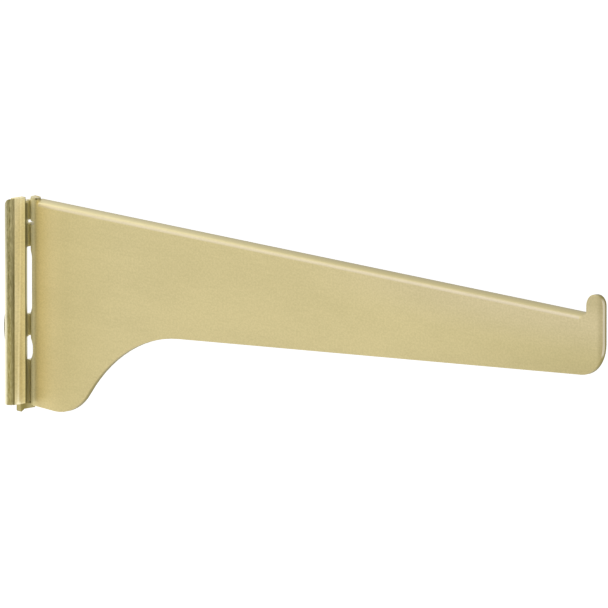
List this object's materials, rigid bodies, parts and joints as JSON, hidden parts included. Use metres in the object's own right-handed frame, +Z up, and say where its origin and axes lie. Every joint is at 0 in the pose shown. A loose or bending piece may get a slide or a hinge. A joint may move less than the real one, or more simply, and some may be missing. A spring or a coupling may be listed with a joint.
{
  "type": "shelf bracket",
  "caption": "Folded sheet shelf bracket with a rolled top edge, an upturned lip and a rear hook and lug for a slotted upright.",
  "frame": {"origin": "on the rear bearing face, midway across the flange and 36.8 mm below the top of the arm", "axes": "+X along the arm from the upright to the tip, +Z up, -Y towards the plain side and +Y towards the hem"},
  "size_m": [0.3147, 0.0156, 0.0844],
  "materials": {
    "plated_steel": "satin pale brass plating"
  },
  "bodies": {
    "root": {"bracket": "plated_steel"}
  },
  "joints": []
}
